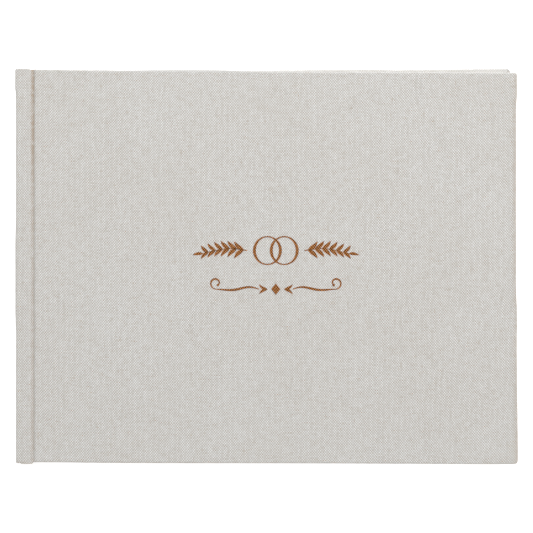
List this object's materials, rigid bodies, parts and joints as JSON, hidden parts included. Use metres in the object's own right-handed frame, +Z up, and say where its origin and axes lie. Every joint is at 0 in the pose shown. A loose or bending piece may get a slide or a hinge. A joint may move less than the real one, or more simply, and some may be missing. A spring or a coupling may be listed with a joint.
{
  "type": "wedding guest book",
  "caption": "Landscape hard-cover guest book, linen case over boards, grooved spine joints, foil ornament, sewn leaves that open flat between turning covers.",
  "frame": {"origin": "middle of the closed book on the surface that its back cover lies on", "axes": "+X from the spine to the fore edge, +Y towards the head, +Z up through the front cover"},
  "size_m": [0.28, 0.2223, 0.0211],
  "materials": {
    "linen": "matte",
    "foil": "satin",
    "greyboard": "matte",
    "endpaper": "matte",
    "leaves": "matte",
    "mull": "matte",
    "kraft": "matte",
    "endband": "satin",
    "thread": "matte"
  },
  "bodies": {
    "back_cover": {"back_board": "greyboard", "back_cloth": "linen", "back_pastedown": "endpaper", "back_hinge_mull": "mull"},
    "spine": {"spine_board": "greyboard", "spine_cloth": "linen", "spine_liner": "kraft", "spine_mull": "mull", "headband": "endband", "tailband": "endband", "sewing_thread": "thread", "section_back_1": "leaves", "section_back_2": "leaves", "section_back_3": "leaves", "section_back_4": "leaves", "section_back_5": "leaves", "section_back_6": "leaves", "section_back_7": "leaves", "section_back_8": "leaves"},
    "front_cover": {"front_board": "greyboard", "front_cloth": "linen", "front_pastedown": "endpaper", "front_hinge_mull": "mull", "foil_ornament": "foil"},
    "front_flyleaf": {"front_flyleaf": "endpaper"},
    "back_flyleaf": {"back_flyleaf": "endpaper"},
    "section_1": {"section_1": "leaves"},
    "section_2": {"section_2": "leaves"},
    "section_3": {"section_3": "leaves"},
    "section_4": {"section_4": "leaves"},
    "section_5": {"section_5": "leaves"},
    "section_6": {"section_6": "leaves"},
    "section_7": {"section_7": "leaves"},
    "section_8": {"section_8": "leaves"}
  },
  "joints": [
    {"name": "back_hinge", "type": "hinge", "parent": "back_cover", "child": "spine", "pos_m": [-0.1394, 0, 0.0006], "axis": [0, -1, 0], "range_deg": [0, 90]},
    {"name": "front_hinge", "type": "hinge", "parent": "spine", "child": "front_cover", "pos_m": [-0.1394, 0, 0.0204], "axis": [0, -1, 0], "range_deg": [0, 90]},
    {"name": "turn_front_flyleaf", "type": "hinge", "parent": "spine", "child": "front_flyleaf", "pos_m": [-0.1394, 0, 0.0204], "axis": [0, -1, 0], "range_deg": [0, 89.55]},
    {"name": "turn_section_1", "type": "hinge", "parent": "spine", "child": "section_1", "pos_m": [-0.1394, 0, 0.0204], "axis": [0, -1, 0], "range_deg": [0, 88.65]},
    {"name": "turn_section_2", "type": "hinge", "parent": "spine", "child": "section_2", "pos_m": [-0.1394, 0, 0.0204], "axis": [0, -1, 0], "range_deg": [0, 87.3]},
    {"name": "turn_section_3", "type": "hinge", "parent": "spine", "child": "section_3", "pos_m": [-0.1394, 0, 0.0204], "axis": [0, -1, 0], "range_deg": [0, 85.5]},
    {"name": "turn_section_4", "type": "hinge", "parent": "spine", "child": "section_4", "pos_m": [-0.1394, 0, 0.0204], "axis": [0, -1, 0], "range_deg": [0, 83.25]},
    {"name": "turn_section_5", "type": "hinge", "parent": "spine", "child": "section_5", "pos_m": [-0.1394, 0, 0.0006], "axis": [0, -1, 0], "range_deg": [-83.25, 0]},
    {"name": "turn_section_6", "type": "hinge", "parent": "spine", "child": "section_6", "pos_m": [-0.1394, 0, 0.0006], "axis": [0, -1, 0], "range_deg": [-85.5, 0]},
    {"name": "turn_section_7", "type": "hinge", "parent": "spine", "child": "section_7", "pos_m": [-0.1394, 0, 0.0006], "axis": [0, -1, 0], "range_deg": [-87.3, 0]},
    {"name": "turn_section_8", "type": "hinge", "parent": "spine", "child": "section_8", "pos_m": [-0.1394, 0, 0.0006], "axis": [0, -1, 0], "range_deg": [-88.65, 0]},
    {"name": "turn_back_flyleaf", "type": "hinge", "parent": "spine", "child": "back_flyleaf", "pos_m": [-0.1394, 0, 0.0006], "axis": [0, -1, 0], "range_deg": [-89.55, 0]}
  ],
  "couplings": [
    {"joint": "turn_front_flyleaf", "follows": "front_hinge", "ratio": 0.995},
    {"joint": "turn_section_1", "follows": "front_hinge", "ratio": 0.985},
    {"joint": "turn_section_2", "follows": "front_hinge", "ratio": 0.97},
    {"joint": "turn_section_3", "follows": "front_hinge", "ratio": 0.95},
    {"joint": "turn_section_4", "follows": "front_hinge", "ratio": 0.925},
    {"joint": "turn_section_5", "follows": "back_hinge", "ratio": -0.925},
    {"joint": "turn_section_6", "follows": "back_hinge", "ratio": -0.95},
    {"joint": "turn_section_7", "follows": "back_hinge", "ratio": -0.97},
    {"joint": "turn_section_8", "follows": "back_hinge", "ratio": -0.985},
    {"joint": "turn_back_flyleaf", "follows": "back_hinge", "ratio": -0.995}
  ]
}
